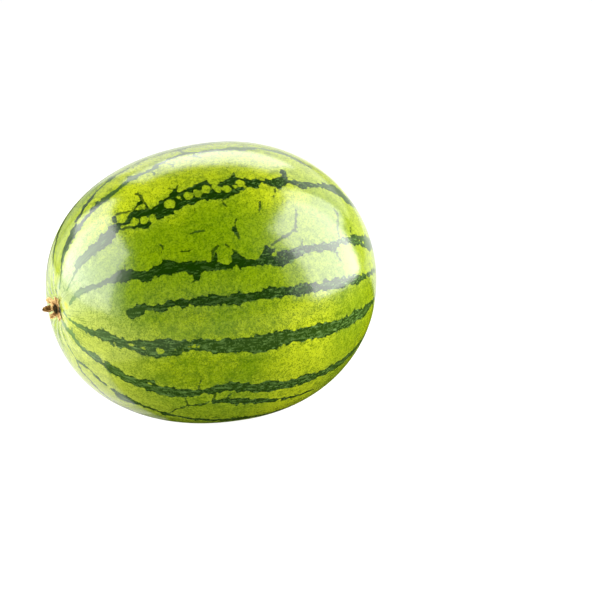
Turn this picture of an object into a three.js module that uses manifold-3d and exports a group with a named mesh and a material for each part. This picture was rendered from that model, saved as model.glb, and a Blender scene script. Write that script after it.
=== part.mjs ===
// A whole striped watermelon, lying on its side on a small flat spot.
// Units are millimetres and +Z is up. The origin is on the flat spot, under the middle of the fruit.
// The fruit's long axis lies along X, with the stem end at -X and the blossom end at +X.
import * as THREE from "three";
import { mergeVertices } from "three/addons/utils/BufferGeometryUtils.js";
import Module from "manifold-3d";

const wasm = await Module();
wasm.setup();

// Driving dimensions of the fruit.
const FRUIT_LENGTH = 260;
const FRUIT_DIAMETER = 220.4;
const STEM_END_BLUNTNESS = 2.27; // exponent of the outline: 2 is an ellipse, more is blunter
const BLOSSOM_END_BLUNTNESS = 2.08;
const BLOSSOM_END_FULLNESS = 0.058; // how much the blossom half widens, as a share
const OVALNESS = 2.2; // the section's radius grows and shrinks by this much
const OVAL_TURN = 14.5; // degrees from upright to the section's narrowest way, towards -Y
const FLAT_SPOT_DEPTH = 1.4; // how far the flat spot cuts into the round underside

// Facets of the fruit, round its section and along its length.
const ROUND_FACETS = 72;
const LENGTH_FACETS = 48;

// Soft relief of the rind.
const RIB_COUNT = 10;
const RIB_HEIGHT = 0.12;
const RIB_TWIST = 0.8; // radians that the ribs drift round the fruit from its middle to an end
const PUCKER_COUNT = 12;
const PUCKER_HEIGHT = 0.3;
const PUCKER_TURN = 1; // radians that the first pucker stands away from the top
const PUCKER_PLACE = 17; // radius round the stem where the puckers are deepest
const PUCKER_SPREAD = 9;
const STEM_DIMPLE = { depth: 3.2, radius: 13 };
const BLOSSOM_DIMPLE = { depth: 2.0, radius: 12 };
const BLOSSOM_SCAR = { height: 0.9, radius: 4.2 };

// The dried stem: a stub with a hollow end, ringed by flaps of its split and curled skin.
const STUB_FACETS = 20;
const STUB_PROFILE = [ // radius and height over the end of the fruit, from the foot to the hollow's floor
  [0, -2.8],
  [2.6, -2.6],
  [4.4, -2.3],
  [4.2, -1.8],
  [3.2, -1.2],
  [2.9, 0],
  [2.6, 0.3],
  [2, 0.1],
  [1.7, -0.7],
  [0, -0.9],
];
const FLAP_ROOT_HEIGHT = -1.95;
const FLAP_THICKNESS = 0.75;
const FLAP_CUP = 0.5; // how far a flap's edges fall below its middle
const FLAP_OUTLINE = { root: 0.8, swell: 0.55, narrowing: 0.8 }; // shares of the width

// Each flap: where it stands round the stub in degrees (0 is up, 90 faces -Y), how far from the stem's
// axis its root is, its length and width, its lean away from that axis at the root, and how far it
// curls on and twists from there by its tip.
const FLAPS = [
  { turn: 32, root: 3.2, length: 11.4, width: 5.2, lean: 69, curl: 16, twist: 40 },
  { turn: 86, root: 3.2, length: 4.6, width: 5.6, lean: 70, curl: 12, twist: 0 },
  { turn: 110, root: 3.2, length: 9.8, width: 5, lean: 69, curl: 20, twist: -26 },
  { turn: 200, root: 3.2, length: 6.6, width: 5.6, lean: 62, curl: -50, twist: -24 },
  { turn: 262, root: 4.1, length: 9.9, width: 6, lean: 3, curl: 6, twist: -4 },
  { turn: 272, root: 3, length: 3.6, width: 7.2, lean: 4, curl: 24, twist: 0 },
  { turn: 323, root: 3.2, length: 8.2, width: 6.2, lean: 42, curl: 10, twist: 50 },
];

const HALF_LENGTH = FRUIT_LENGTH / 2;
const RADIUS = FRUIT_DIAMETER / 2;

const rad = THREE.MathUtils.degToRad;
const bell = (distance, width) => Math.exp(-((distance / width) ** 2));

// Change of the section's radius at a turn about the axis, at the fruit's middle.
const ovalAt = (turn) => -OVALNESS * Math.cos(2 * (turn - rad(OVAL_TURN)));

// Height of the fruit's axis over the flat spot.
const AXIS_HEIGHT = RADIUS + ovalAt(Math.PI) - FLAT_SPOT_DEPTH;

// The rind's point at station t (0 at the stem end, PI at the blossom end) and turn f about the axis
// (0 is up, PI/2 faces -Y). A blunt oval outline carries low ribs, puckers round the stem and a dimple
// at each end, with the blossom scar standing in its own.
function rindPoint(t, f) {
  const along = Math.cos(t);
  const round = Math.max(Math.sin(t), 0);
  const nearStem = along > 0;
  const power = 2 / (nearStem ? STEM_END_BLUNTNESS : BLOSSOM_END_BLUNTNESS);
  const x0 = -HALF_LENGTH * Math.sign(along) * Math.abs(along) ** power;
  const r0 = RADIUS * round ** power * (1 + (BLOSSOM_END_FULLNESS * x0) / HALF_LENGTH);
  const rib = RIB_HEIGHT * round * Math.cos(RIB_COUNT * f + RIB_TWIST * along);
  const r = r0 + rib + round * ovalAt(f);
  const pucker = nearStem
    ? PUCKER_HEIGHT * bell(r0 - PUCKER_PLACE, PUCKER_SPREAD) * Math.cos(PUCKER_COUNT * f + PUCKER_TURN)
    : 0;
  const stemDimple = nearStem ? STEM_DIMPLE.depth * bell(r0, STEM_DIMPLE.radius) : 0;
  const blossomDimple = nearStem ? 0 : BLOSSOM_DIMPLE.depth * bell(r0, BLOSSOM_DIMPLE.radius);
  const scar = nearStem ? 0 : BLOSSOM_SCAR.height * bell(r0, BLOSSOM_SCAR.radius);
  const x = x0 + stemDimple - blossomDimple + scar - pucker;
  return new THREE.Vector3(x, -r * Math.sin(f), r * Math.cos(f) + AXIS_HEIGHT);
}

// A closed three.js geometry as a manifold solid.
function solidOf(geometry) {
  const bare = geometry.clone();
  bare.deleteAttribute("normal");
  bare.deleteAttribute("uv");
  const merged = mergeVertices(bare, 1e-4);
  return new wasm.Manifold(
    new wasm.Mesh({
      numProp: 3,
      vertProperties: merged.attributes.position.array,
      triVerts: new Uint32Array(merged.index.array),
    }),
  );
}

// A manifold solid as a three.js geometry.
function geometryOf(solid) {
  const mesh = solid.getMesh();
  const geometry = new THREE.BufferGeometry();
  geometry.setAttribute("position", new THREE.BufferAttribute(new Float32Array(mesh.vertProperties), 3));
  geometry.setIndex(new THREE.BufferAttribute(mesh.triVerts, 1));
  geometry.computeVertexNormals();
  return geometry;
}

// Moves every vertex of a geometry to the point that the function gives for it.
function reshape(geometry, move) {
  const position = geometry.attributes.position;
  const v = new THREE.Vector3();
  for (let i = 0; i < position.count; i++) {
    v.fromBufferAttribute(position, i);
    const p = move(v);
    position.setXYZ(i, p.x, p.y, p.z);
  }
  return geometry;
}

// The fruit is a ball whose vertices are moved to the rind, with the flat spot cut off its underside.
function fruitGeometry() {
  const ball = new THREE.SphereGeometry(1, ROUND_FACETS, LENGTH_FACETS);
  ball.rotateZ(Math.PI / 2);
  const rind = reshape(ball, (v) =>
    rindPoint(Math.acos(THREE.MathUtils.clamp(-v.x, -1, 1)), Math.atan2(-v.y, v.z)),
  );
  const deep = 10 * FLAT_SPOT_DEPTH;
  const ground = new THREE.BoxGeometry(FRUIT_LENGTH, FRUIT_DIAMETER, deep).translate(0, 0, -deep / 2);
  return geometryOf(solidOf(rind).subtract(solidOf(ground)));
}

// The stub is turned about the stem's axis, which is Z here, from its foot to its hollow end.
function stubGeometry() {
  const points = STUB_PROFILE.map(([radius, height]) => new THREE.Vector2(radius, height));
  return new THREE.LatheGeometry(points, STUB_FACETS).rotateX(Math.PI / 2);
}

// A flap is a box bent along an arc: it leaves the stub leaning by `lean`, and turns on by `curl` to its
// tip. It is widest a third of the way up, narrows to a blunt tip, and is cupped across its width and
// twisted about its middle line.
function flapGeometry({ turn, root, length, width, lean, curl, twist }) {
  const box = new THREE.BoxGeometry(1, 1, 1, 10, 4, 1);
  const bend = rad(curl);
  const start = rad(lean);
  const flap = reshape(box, (v) => {
    const s = v.x + 0.5;
    const angle = start + bend * s;
    const turned = rad(twist) * Math.sqrt(s);
    const out = root + (length * (Math.cos(start) - Math.cos(angle))) / bend;
    const up = FLAP_ROOT_HEIGHT + (length * (Math.sin(angle) - Math.sin(start))) / bend;
    const share = FLAP_OUTLINE.root + FLAP_OUTLINE.swell * s - FLAP_OUTLINE.narrowing * s * s;
    const flat = width * share * v.y;
    const high = FLAP_THICKNESS * v.z - FLAP_CUP * ((2 * v.y) ** 2 - 0.5) * share;
    const across = flat * Math.cos(turned) - high * Math.sin(turned);
    const lift = flat * Math.sin(turned) + high * Math.cos(turned);
    return new THREE.Vector3(out - lift * Math.cos(angle), across, up + lift * Math.sin(angle));
  });
  return flap.rotateZ(-rad(turn));
}

// Stub and flaps grown together, then laid along the fruit's axis at the stem end.
function stemGeometry() {
  let stem = solidOf(stubGeometry());
  for (const flap of FLAPS) stem = stem.add(solidOf(flapGeometry(flap)));
  const geometry = geometryOf(stem);
  return geometry.rotateY(-Math.PI / 2); // the stem's axis turns from Z to -X, and X to Z
}

const rindMaterial = new THREE.MeshStandardMaterial({ color: 0x9dbb36, roughness: 0.32, metalness: 0 });
const stemMaterial = new THREE.MeshStandardMaterial({ color: 0xa87c4a, roughness: 0.85, metalness: 0 });

const fruit = new THREE.Mesh(fruitGeometry(), rindMaterial);
fruit.name = "fruit";

const driedStem = new THREE.Mesh(stemGeometry(), stemMaterial);
driedStem.name = "dried_stem";
driedStem.position.set(-HALF_LENGTH, 0, AXIS_HEIGHT);

const watermelon = new THREE.Group();
watermelon.add(fruit, driedStem);

export default watermelon;
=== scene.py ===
"""A whole striped watermelon with its dried stem, on a pale floor in soft studio light.

The file is laid out as an add-on: each piece is made by one operator, and the sizes and colours that
a user would change are properties of the scene.
"""
import math
from functools import partialmethod

import bpy
import numpy as np
from mathutils import Matrix, Vector


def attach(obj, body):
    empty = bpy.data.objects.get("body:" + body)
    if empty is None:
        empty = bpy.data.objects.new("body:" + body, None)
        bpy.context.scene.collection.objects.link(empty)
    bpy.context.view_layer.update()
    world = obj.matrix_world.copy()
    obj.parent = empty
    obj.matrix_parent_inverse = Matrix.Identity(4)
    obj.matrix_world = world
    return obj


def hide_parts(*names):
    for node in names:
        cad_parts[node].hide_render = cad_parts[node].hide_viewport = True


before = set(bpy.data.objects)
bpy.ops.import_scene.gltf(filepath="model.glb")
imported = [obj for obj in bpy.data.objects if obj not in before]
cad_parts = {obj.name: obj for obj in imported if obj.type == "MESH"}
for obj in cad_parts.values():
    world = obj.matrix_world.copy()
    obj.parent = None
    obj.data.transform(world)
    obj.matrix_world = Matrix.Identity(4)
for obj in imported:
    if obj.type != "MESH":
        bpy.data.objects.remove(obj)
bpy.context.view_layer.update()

bl_info = {
    "name": "Striped watermelon",
    "version": (1, 0, 0),
    "blender": (4, 5, 0),
    "location": "3D View > Sidebar > Melon",
    "description": "A whole striped watermelon with its dried stem",
    "category": "Object",
}

MM = 0.001

# The fruit's form, in metres and degrees. The axis lies along X with the stem end at -X.
FRUIT_LENGTH = 0.26
FRUIT_DIAMETER = 0.2204
STEM_END_BLUNTNESS = 2.27  # exponent of the outline: 2 is an ellipse, more is blunter
BLOSSOM_END_BLUNTNESS = 2.08
BLOSSOM_END_FULLNESS = 0.058  # how much the blossom half widens, as a share
OVALNESS = 0.0022
OVAL_TURN = 14.5
FLAT_SPOT_DEPTH = 0.0014
RIB_COUNT = 10
RIB_HEIGHT = 0.00012
RIB_TWIST = 0.8
PUCKER_COUNT = 12
PUCKER_HEIGHT = 0.0003
PUCKER_TURN = 1
PUCKER_PLACE = 0.017
PUCKER_SPREAD = 0.009
STEM_DIMPLE = (0.0032, 0.013)  # depth and radius
BLOSSOM_DIMPLE = (0.002, 0.012)
BLOSSOM_SCAR = (0.0009, 0.0042)  # height and radius

# The fine mesh of the rind: stations from end to end, and points round each.
STATIONS = 240
POINTS_ROUND = 396
SEED = 11
SPREAD = 0.25  # mm that a stripe is widened by before its edges are bitten

# The round bar that drawn-out spots are laid on: its radius in metres and the share of a length that
# it keeps.
BAR_RADIUS = 0.09
BAR_SHARE = 0.3

# Stripes on the shown side, each a run of station, upper edge and lower edge in degrees. Station 0 is
# the stem end and 180 the blossom end. The edges are turns about the axis: 0 is up, 90 faces -Y.
STRIPES = [
    # Behind the crest.
    [5, 10, 18, 7, 0, 7, 9, -9, -3, 11.6, -15.5, -10.5, 15, -22.6, -17.8, 18, -26, -21, 21, -29, -24,
     24, -30.5, -25.5, 27, -32, -27, 30, -34, -29, 36, -34.5, -30, 44, -35, -31, 56, -38, -33, 70, -39, -33,
     84, -37, -33.5, 98, -39, -32, 112, -38, -33, 128, -36, -31, 142, -35, -31, 156, -34, -32,
     166, -33, -32],
    # Fine line on the crest.
    [35, -5.6, -1.8, 36.8, -7.2, -2.8, 39.2, -8.6, -4.4, 41.8, -10, -6.4, 44.8, -11.2, -7.2, 48, -12, -8.8,
     50, -12.6, -10, 55, -13.4, -10.8, 58, -15.6, -11, 61, -14, -11.6, 66, -13.6, -11.4, 72, -13.8, -12,
     80, -12, -10.4, 84, -11.4, -8, 88, -12, -9.6, 96, -13, -10.6, 104, -12.6, -10, 112, -10.5, -8.5,
     120, -8, -6, 130, -5, -3, 140, -2, -0.8, 150, 0, 0.6],
    # Crest.
    [9.4, 21.4, 28, 12, 18.2, 24.8, 14.6, 13.4, 19, 17, 8.4, 14.6, 19.4, 2.8, 10.2, 21.4, -0.8, 8.3,
     23.8, -1.6, 7, 27.6, -2.6, 6.5, 30.6, -4.4, 7, 33.6, -5.2, 5.8, 35, -3, 5.8, 36.4, 0.2, 6.2,
     38, 0.6, 5.6, 42, 0.6, 5.2, 45, 0, 5.2, 46.6, -1, 5, 48, 0.2, 5, 50, 0.8, 6.2, 51.4, 1.4, 6.8,
     53, 1.8, 5, 56, 2, 4.8, 59, 1, 4.4, 61, 0, 4.2, 62.4, -1.8, 4, 63.6, 0.2, 4, 66, 1.2, 4.2, 69, 1.6, 5,
     71, 0.4, 4.4, 74, -0.4, 1.4, 78, -1.6, 0.2, 82, -2.6, -0.4, 85, -1.6, 1.4, 88, 0.4, 2.6, 91, 1.4, 3.6,
     95, 1.6, 4.2, 97, 1.2, 6, 99.4, 1.8, 6.6, 102, 1.6, 5, 106, 2.2, 4.6, 110, 3, 5.6, 114, 4, 7.4,
     117, 5.6, 10.6, 119, 8, 12, 121, 11, 14.5, 123.4, 14, 15.4],
    # Shoulder.
    [14, 43, 45, 17, 40, 43.4, 20, 36, 40, 22, 34, 38.6, 24, 28.5, 37, 26, 26.6, 35.8, 30, 26.4, 35,
     35, 27, 34.6, 40, 26.4, 35, 44, 25.6, 34.4, 46, 24.6, 33.4, 48, 24.8, 31, 50, 25.4, 29.6,
     52.6, 26, 30.4, 54, 24.6, 33.6, 55.6, 23.8, 35.4, 57.2, 22.4, 36.6, 58.6, 21.2, 36.8, 60.2, 20.6, 36.2,
     61.2, 24.4, 35.8, 62, 27.4, 35.2, 64.4, 28.2, 35.4, 65.6, 26, 34.8, 67, 25, 35.4, 69, 25.2, 34.8,
     70.6, 24.6, 33.6, 71.4, 23.4, 33.6, 72.4, 24.2, 33.6, 73.6, 24.8, 34, 75.4, 24.6, 34.4, 77, 24, 33.4,
     79, 23.4, 33, 81, 22.8, 33.6, 82.6, 23.6, 35, 83.8, 25, 36.8, 85, 26.6, 35, 87.2, 25.4, 33.8,
     89.6, 23.4, 32.6, 91.6, 25.4, 31.4, 93.4, 26.8, 31.8, 95.6, 26.8, 31.6, 98, 28, 31, 100, 28, 31.8,
     101.6, 27.8, 34, 103, 27, 33.6, 105, 26.2, 32.2, 107.6, 26.4, 31.4, 109.4, 28.6, 31.6, 110.6, 29.2, 33,
     112.6, 29.4, 33.8, 115, 29.2, 33, 118, 29, 31.6, 121, 28.8, 31.8, 124, 27.4, 32.4, 126, 26.6, 33,
     129, 25, 32.4, 132, 24.4, 34, 135, 25.4, 36.4, 138, 27, 35.6, 143, 28.6, 34.6, 150, 30, 34,
     158, 31, 34.4, 167, 32, 33.4],
    # Front.
    [13.4, 62.6, 66.4, 16, 58.6, 64, 18, 55, 61.6, 20, 51.6, 60.2, 23, 51.4, 59.6, 26, 53.4, 59,
     30, 54.8, 58.4, 34, 55.2, 58.4, 38, 54.8, 58.6, 41, 53.6, 59.2, 44.6, 52.6, 60, 47, 54, 60.4,
     50, 56.2, 61.4, 52, 56.8, 63, 55, 56.2, 61.6, 57.4, 56, 62, 59, 54.8, 61.8, 60.6, 53.8, 61.2,
     62.4, 56, 61.2, 65, 57.4, 61.8, 67.4, 57.8, 63, 69.6, 58.4, 65, 71.4, 58.8, 63.6, 74, 59.2, 63,
     76.4, 59.6, 63.6, 78, 60.6, 63.4, 80, 60.8, 63.6, 81.6, 59.4, 64, 83, 58.6, 64.4, 85, 61, 64.4,
     87, 61.8, 64.4, 89, 61.2, 64.6, 90.4, 58.6, 65.2, 91.6, 57.8, 66, 94, 59.4, 66.4, 97, 60.8, 66.2,
     100, 60.2, 65, 103, 59.4, 63.4, 107, 59.6, 62.8, 112, 59.4, 62.8, 115.4, 59.8, 63, 117, 59.6, 64.6,
     118.4, 59.2, 62.2, 120, 58.2, 61, 123, 56.8, 60.8, 127, 56.2, 60.8, 129, 53.8, 61.6, 131, 56, 61.8,
     134, 56.6, 62, 138, 55.8, 63.8, 143, 54.6, 65, 149, 55, 63.4, 156, 56.4, 61.6, 166, 58, 60],
    # Fine line below it.
    [42.6, 76, 79, 43.4, 74.4, 79.6, 45, 73, 79.4, 46.6, 71.8, 79, 48.6, 72.4, 78.6, 50, 71.9, 77,
     52, 73.2, 76, 54, 73.4, 76.6, 55.6, 72.8, 77.4, 58, 72.4, 76, 60, 72.9, 75.6, 62, 72.4, 75.8,
     64, 72.4, 76.6, 66, 72.8, 76.2, 69, 73, 76.9, 73, 72.8, 77.6, 77, 74, 77, 81, 73, 78.4, 86, 74.2, 77.2,
     91, 73.2, 78, 96, 74.6, 77.4, 101, 74, 79, 107, 75, 78.2, 113, 74.2, 79.2, 120, 75.6, 78.8,
     128, 75.4, 79.4, 137, 76.4, 79, 147, 77, 79.4, 157, 77.6, 79.2, 166, 78.2, 79],
    # Middle.
    [7, 73, 80, 10, 80, 86, 12, 86.6, 90.4, 15, 87.2, 92.8, 19, 88, 94.4, 23, 89.2, 95.4, 27, 89.6, 96,
     29.4, 88.2, 96.2, 31.4, 87, 96.6, 33.6, 88.6, 97.6, 36, 90.4, 98.6, 38.6, 91.8, 98.2, 41, 91.6, 97.2,
     44, 91.8, 98.6, 47, 91.3, 99, 50, 91, 99.2, 52.4, 90.6, 100, 54.6, 90, 98.8, 57, 90, 99.4,
     59, 90.2, 98.2, 61, 90.6, 97.2, 64, 90.8, 96, 67, 90.4, 95.6, 70, 90, 95.8, 73, 90.6, 97,
     77, 91.4, 96.4, 82, 90.4, 97.4, 87, 91.2, 98.6, 92, 90.2, 97, 98, 91.4, 96.2, 104, 90.4, 97.4,
     110, 91.6, 98.2, 117, 92.2, 97, 124, 91.4, 98, 131, 92.6, 98.6, 139, 93.4, 98, 148, 94.2, 98.4,
     157, 95, 97.8, 166, 96, 97],
    # Lower.
    [6, 108, 119, 8.2, 106.4, 117.6, 11.2, 105.6, 116.4, 14.2, 103.8, 115.8, 16.2, 104, 117.2,
     16.8, 110, 117.8, 19.2, 112.6, 118.6, 21.6, 113, 118.8, 25, 111.6, 118.6, 27, 110, 118.4,
     29, 111.4, 118.6, 31.4, 112.4, 118.6, 33.6, 111.2, 119.2, 36, 112.8, 120.4, 40, 113.4, 121,
     43, 115.6, 121.4, 47, 115.8, 121.8, 50, 114.2, 122, 52, 113.5, 122.4, 54, 115.4, 123, 57, 115.8, 123.2,
     60, 115.5, 122.4, 62.4, 116, 121.6, 65, 114.8, 121.8, 67, 115.4, 120.6, 69, 114.6, 119.4,
     71, 114.8, 118.4, 73.4, 112.8, 117.8, 76, 112.2, 117, 78.6, 110.6, 115.6, 82, 111.4, 116.6,
     87, 113.2, 118.6, 92, 112.6, 119.6, 98, 114.4, 119, 104, 113.8, 120, 111, 115, 119.4,
     118, 114.6, 120.4, 126, 115.6, 120, 135, 115.2, 119.4, 145, 116, 119, 156, 116.8, 118.8,
     166, 117.4, 118.4],
    # Its branch.
    [73.6, 122.2, 122.6, 74.4, 121.4, 123.6, 76, 120.8, 124, 78.4, 121, 124.2, 80.4, 121.4, 124,
     82, 120.4, 126.8, 84, 121, 126, 87, 122.6, 126, 91, 124, 127.4, 96, 125.4, 128, 102, 127, 129.2,
     110, 128.4, 129.6],
    # Low.
    [20.6, 142.4, 144.4, 21.6, 139.8, 141.8, 23.6, 136.4, 139.6, 25.6, 133.4, 137.4, 27.2, 133, 136,
     28.8, 133.8, 135.6, 31.4, 135.2, 137.2, 34.4, 135.8, 137.8, 37.2, 135.8, 138.2, 40, 135.8, 139.6,
     43, 135.4, 142.4, 45, 134.6, 143, 48, 135.2, 141, 51, 136.8, 140.4, 55, 137.6, 139.8, 58, 137.4, 139.8,
     60, 137.6, 140.8, 62, 137.4, 142.4, 64, 138.4, 141.2, 68, 139, 141.8, 73, 139.2, 143, 79, 140.4, 143.8,
     86, 140, 144.6, 94, 141.4, 144.6, 102, 140.6, 145.2, 111, 141.6, 144.8, 121, 140.8, 144.6,
     132, 141.4, 144.2, 144, 141, 143.6, 156, 141.4, 143, 166, 141.8, 142.8],
    # Lowest.
    [5.4, 127, 132, 6.8, 137, 142, 9, 139.4, 143.8, 11.4, 140.4, 144.2, 14, 140.4, 143.8, 16.2, 140.6, 144,
     19, 141, 144.2, 20.8, 143, 146.4, 22.2, 145.6, 149.4, 23.8, 148.6, 152.4, 25.4, 150.6, 154.4,
     28.8, 150.4, 154.2, 32, 150.2, 154, 36, 153.2, 157, 40, 155, 158.4, 46, 156.4, 159.6, 56, 157.4, 160.4,
     68, 157, 160.4, 82, 158.6, 162.4, 98, 159.6, 163, 114, 160.4, 163.6, 130, 161.4, 164,
     148, 162.4, 164.2, 165, 163.4, 164.2],
]

# Stripes on the far side: (middle turn, half width in mm at the fruit's middle, first station, last).
FAR_STRIPES = [
    (184, 4.6, 9, 167), (204, 2.6, 5, 160), (224, 5.4, 9, 168), (246, 4.4, 12, 165), (263, 1.8, 30, 150),
    (283, 5.6, 9, 167), (310, 3, 5, 163),
]

# Light islands inside the stripes and lobes that push into them, each four numbers: station, turn, and
# in mm half its length along the fruit and half its width across.
LIGHT_PATCHES = [
    51.8, 25.4, 4, 3.4, 54.7, 30.6, 3.9, 3.2, 58, 32.1, 3.3, 3.3, 61, 32.8, 2.9, 4, 59.1, 24.5, 3.2, 3.7,
    68.5, 29.4, 5, 4.4, 71.9, 27.7, 2, 2.2, 75, 28.1, 3.1, 4.1, 78, 28.4, 3.3, 4.7, 81.2, 27.7, 3.1, 4.3,
    84, 29, 2.9, 4.4, 86.8, 30.2, 3.1, 4.2, 89, 30.2, 2.2, 2.8, 90.7, 28.5, 2.3, 3.9, 108.4, 28.6, 1.8, 1,
    79.2, 58.7, 6.4, 6, 68.6, 61.4, 0.8, 0.7, 92.6, 61.6, 1.1, 1.3, 95.4, 62.6, 0.8, 0.6,
    125.2, 56.8, 2.6, 0.7, 133.4, 58.8, 2.2, 0.9, 136.6, 60.2, 2.4, 0.9, 36.6, 96.2, 1.9, 2.2,
    47.6, 95.4, 2.9, 1.5, 53.8, 96.3, 3, 2.9, 59.6, 95, 2.8, 1, 43, 94.6, 2.6, 0.6, 65, 93.6, 2.2, 0.6,
    77.8, 118.6, 4.6, 3.2, 31.8, 114.8, 1.3, 1, 51.4, 116.4, 1.6, 0.8,
]

# Dark knots beside the stripes, in the same form.
DARK_PATCHES = [
    48.4, 22.4, 2.6, 5, 72, 23.8, 1.8, 3.2, 81.4, 24.6, 2.6, 1.3, 84.3, 49.6, 1.5, 3.7,
    53.6, 33.2, 1.7, 1.4, 57.8, 36.4, 2.4, 1.9, 107.6, 23.6, 3, 4, 76.6, 58.6, 1.2, 1.8, 82.7, 59, 2.2, 1.7,
    91.2, 58.2, 1.6, 1.8, 67.2, 127.2, 1.1, 1.9, 62, 140.6, 1.8, 2.6, 103.6, 49.6, 1, 1.2,
    69.2, 65.2, 1.8, 1.3, 58.8, -14.6, 1.2, 1.8, 120.6, 13.6, 1.4, 3, 43.4, 81.6, 0.7, 2.2,
    117.6, 65.2, 1, 1.8,
]

# Dark twigs: half width in mm at the root and at the tip, then the station and turn of each place that
# it runs through.
TWIGS = [
    (0.9, 0.5, 60.2, 14.4, 60.9, 18, 60.9, 22, 61.1, 28),
    (0.7, 0.5, 60.6, 20.4, 58.6, 22.2, 56.6, 24),
    (0.6, 0.5, 49.6, 19.6, 52, 21.2, 53.8, 22.8, 55.4, 23.4),
    (0.7, 0.5, 50, 28.6, 52.8, 28.4, 55, 27),
    (0.8, 0.8, 49.4, 31.2, 51.6, 31.4, 53.6, 33.2),
    (0.6, 0.2, 72, 23.6, 71.4, 21.8, 70.4, 20.8),
    (0.6, 0.2, 72.2, 23.6, 73, 22, 73.8, 21),
    (0.5, 0.1, 83.8, 34.8, 84, 36.8, 84.4, 38.8),
    (0.8, 0.2, 89.8, 25, 90, 23.4, 90.4, 22),
    (0.4, 0.1, 100.8, 34, 100, 35.6, 99, 37.4),
    (0.3, 0.1, 75, 34, 75.2, 35.4, 74.8, 36.8),
    (0.9, 0.6, 84.6, 52.6, 84.6, 49.6, 84.8, 46.6, 85.6, 45),
    (0.25, 0.1, 92.4, 43, 93, 41, 93.6, 39),
    (0.12, 0, 71, 46.4, 73, 46.2, 75.6, 47),
    (0.1, 0.1, 60.4, 47, 60.8, 49, 59.6, 51.4),
    (0.1, 0, 66, 52.8, 68.4, 53.6, 70.6, 53),
    (0.5, 0.3, 75.4, 60.6, 75.4, 57.6, 76.2, 55.4, 78, 54),
    (0.6, 0.3, 82.8, 58.2, 81.8, 56.6, 80.4, 54.2),
    (0.9, 0.5, 91, 59.6, 92.8, 57.6, 95.4, 56.2, 98, 55, 100.4, 54, 102.2, 52.4, 103.4, 50, 104.2, 47.4,
     105, 44.6),
    (0.5, 0.2, 102.2, 52.6, 102.6, 53.8),
    (0.6, 0.2, 103, 59.8, 103.6, 58.4, 104, 57),
    (0.8, 0.3, 120.6, 57.2, 120.8, 54.6, 121.8, 51.6, 123, 49, 124, 46, 123.2, 43.6),
    (0.9, 0.2, 116.8, 62.6, 117.6, 65.6, 118.4, 67.4, 119.4, 68.4),
    (0.7, 0.2, 128.8, 55, 128.8, 53.4, 129.4, 52.4),
    (0.6, 0.2, 45.4, 54, 45, 52.2, 45.6, 51),
    (0.6, 0.3, 69.2, 64, 68.8, 65.8, 67.6, 66.4),
    (0.5, 0.3, 31.4, 88, 30.8, 86.8),
    (0.6, 0.6, 13, 32.8, 12.8, 41.8),
    (0.4, 0.4, 6, 162.4, 7.8, 173, 10, 170, 12.2, 164.6, 14.6, 157.8, 17.2, 157.8),
    (0.6, 0.4, 68.8, 114.8, 68.6, 112.4, 68.9, 110.2),
    (0.7, 0.5, 65, 121.6, 66, 124, 67, 127, 66.4, 128.6, 65, 130.6, 63.6, 132.8, 63.1, 135.4, 62.4, 138),
    (0.7, 0.7, 67.4, 127.4, 69.6, 126.2, 72, 125.2, 73.6, 123),
    (0.9, 0.8, 74.4, 122.4, 74.6, 119.6, 74.4, 117),
    (0.6, 0.3, 79.2, 121.6, 79, 119.8, 79.8, 117.4),
    (0.6, 0.2, 14, 104, 13.4, 101.4, 14.6, 99),
    (0.6, 0.4, 82.6, -1.8, 83.2, -4.4, 83.4, -8.4),
    (0.5, 0.3, 75, 0.4, 75.4, 3, 77, 5.4, 76.4, 7.6),
    (0.45, 0.3, 69.4, 4, 70, 6.4, 69.4, 8),
    (0.5, 0.3, 85.4, 0.6, 84.6, 3.4, 85.8, 6.4),
    (0.5, 0.2, 66.6, -11.4, 67, -9.4, 66.6, -7.4),
    (0.6, 0.4, 118.4, 8.6, 120.6, 10, 121.2, 12),
]


class Places:
    """Stations and turns of the mesh's points in degrees, with how many mm one degree spans there."""

    def __init__(self):
        self.station = np.linspace(0, 180, STATIONS)[:, None]
        self.turn = (np.arange(POINTS_ROUND) * 360 / POINTS_ROUND)[None, :]
        self.along, self.around = mm_per_degree(self.station)

    def near(self, station, turn, reach_mm):
        """The rows of the mesh within reach of a place, as a slice, and how far their points lie from
        it, in mm along and around the fruit."""
        along, around = mm_at(station)
        inside = np.nonzero(np.abs(self.station[:, 0] - station) * along < reach_mm)[0]
        rows = slice(inside[0], inside[-1] + 1) if len(inside) else slice(0, 0)
        return rows, (self.station[rows] - station) * along, wrapped(self.turn - turn) * around


def wrapped(degrees):
    """An angle brought to between -180 and 180."""
    return (degrees + 180) % 360 - 180


def bell(distance, width):
    """A bump that falls off with the square of the distance: e to the minus (distance / width)^2."""
    return np.exp(-((distance / width) ** 2))


def oval(turn):
    """What the section's radius gains at a turn: it goes as the cosine of twice the turn."""
    return -OVALNESS * np.cos(2 * (turn - math.radians(OVAL_TURN)))


AXIS_HEIGHT = FRUIT_DIAMETER / 2 + float(oval(math.pi)) - FLAT_SPOT_DEPTH
CENTRE = Vector((0, 0, AXIS_HEIGHT))


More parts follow.
